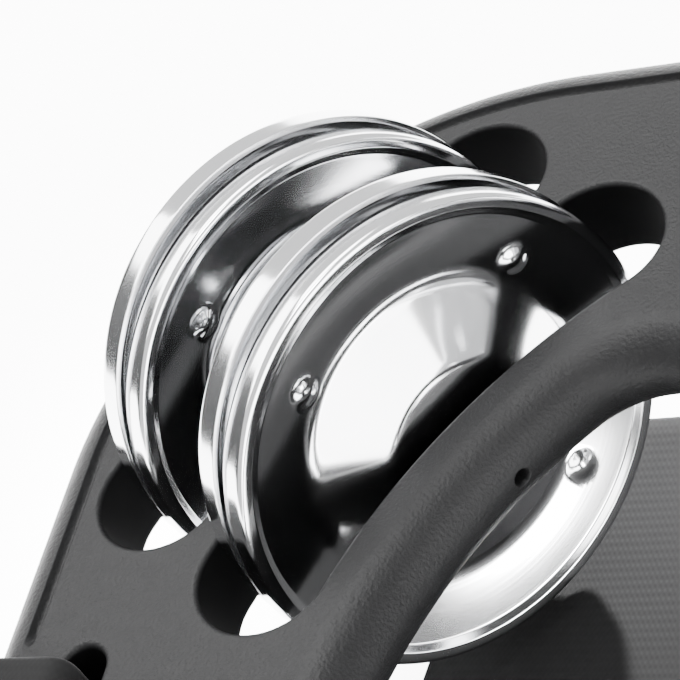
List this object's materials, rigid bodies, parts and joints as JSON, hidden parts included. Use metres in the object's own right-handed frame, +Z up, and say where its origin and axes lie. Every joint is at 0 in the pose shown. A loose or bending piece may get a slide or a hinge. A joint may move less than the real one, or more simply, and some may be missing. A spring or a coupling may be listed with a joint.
{
  "type": "foot tambourine",
  "caption": "Oval foot tambourine: a moulded ring with domed steel jingle discs that slide on radial pins in slots, and an elastic strap underneath that holds it on the foot.",
  "frame": {"origin": "where the two pin axes meet, at mid-thickness of the ring", "axes": "+Z up out of the ring's top face, +Y towards the toe, +X to the wearer's right"},
  "size_m": [0.136, 0.168, 0.0537],
  "materials": {
    "ring_plastic": "black moulded plastic, satin",
    "pin_steel": "plain steel pin",
    "jingle_steel": "bright polished steel",
    "strap_elastic": "woven elastic, dark"
  },
  "bodies": {
    "ring": {"frame": "ring_plastic", "pin_left": "pin_steel", "pin_right": "pin_steel", "strap": "strap_elastic"},
    "jingle_left_inner_a": {"jingle_left_inner_a": "jingle_steel"},
    "jingle_left_inner_b": {"jingle_left_inner_b": "jingle_steel"},
    "jingle_left_outer_a": {"jingle_left_outer_a": "jingle_steel"},
    "jingle_left_outer_b": {"jingle_left_outer_b": "jingle_steel"},
    "jingle_right_inner_a": {"jingle_right_inner_a": "jingle_steel"},
    "jingle_right_inner_b": {"jingle_right_inner_b": "jingle_steel"},
    "jingle_right_outer_a": {"jingle_right_outer_a": "jingle_steel"},
    "jingle_right_outer_b": {"jingle_right_outer_b": "jingle_steel"}
  },
  "joints": [
    {"name": "jingle_left_inner_a_slide", "type": "slide", "parent": "ring", "child": "jingle_left_inner_a", "axis": [-0.8192, 0.5736, 0], "range_m": [-0.0003, 0.0002]},
    {"name": "jingle_left_inner_b_slide", "type": "slide", "parent": "ring", "child": "jingle_left_inner_b", "axis": [-0.8192, 0.5736, 0], "range_m": [-0.0002, 0.0003]},
    {"name": "jingle_left_outer_a_slide", "type": "slide", "parent": "ring", "child": "jingle_left_outer_a", "axis": [-0.8192, 0.5736, 0], "range_m": [-0.0003, 0.0002]},
    {"name": "jingle_left_outer_b_slide", "type": "slide", "parent": "ring", "child": "jingle_left_outer_b", "axis": [-0.8192, 0.5736, 0], "range_m": [-0.0002, 0.0003]},
    {"name": "jingle_right_inner_a_slide", "type": "slide", "parent": "ring", "child": "jingle_right_inner_a", "axis": [0.8192, 0.5736, 0], "range_m": [-0.0003, 0.0002]},
    {"name": "jingle_right_inner_b_slide", "type": "slide", "parent": "ring", "child": "jingle_right_inner_b", "axis": [0.8192, 0.5736, 0], "range_m": [-0.0002, 0.0003]},
    {"name": "jingle_right_outer_a_slide", "type": "slide", "parent": "ring", "child": "jingle_right_outer_a", "axis": [0.8192, 0.5736, 0], "range_m": [-0.0003, 0.0002]},
    {"name": "jingle_right_outer_b_slide", "type": "slide", "parent": "ring", "child": "jingle_right_outer_b", "axis": [0.8192, 0.5736, 0], "range_m": [-0.0002, 0.0003]}
  ]
}
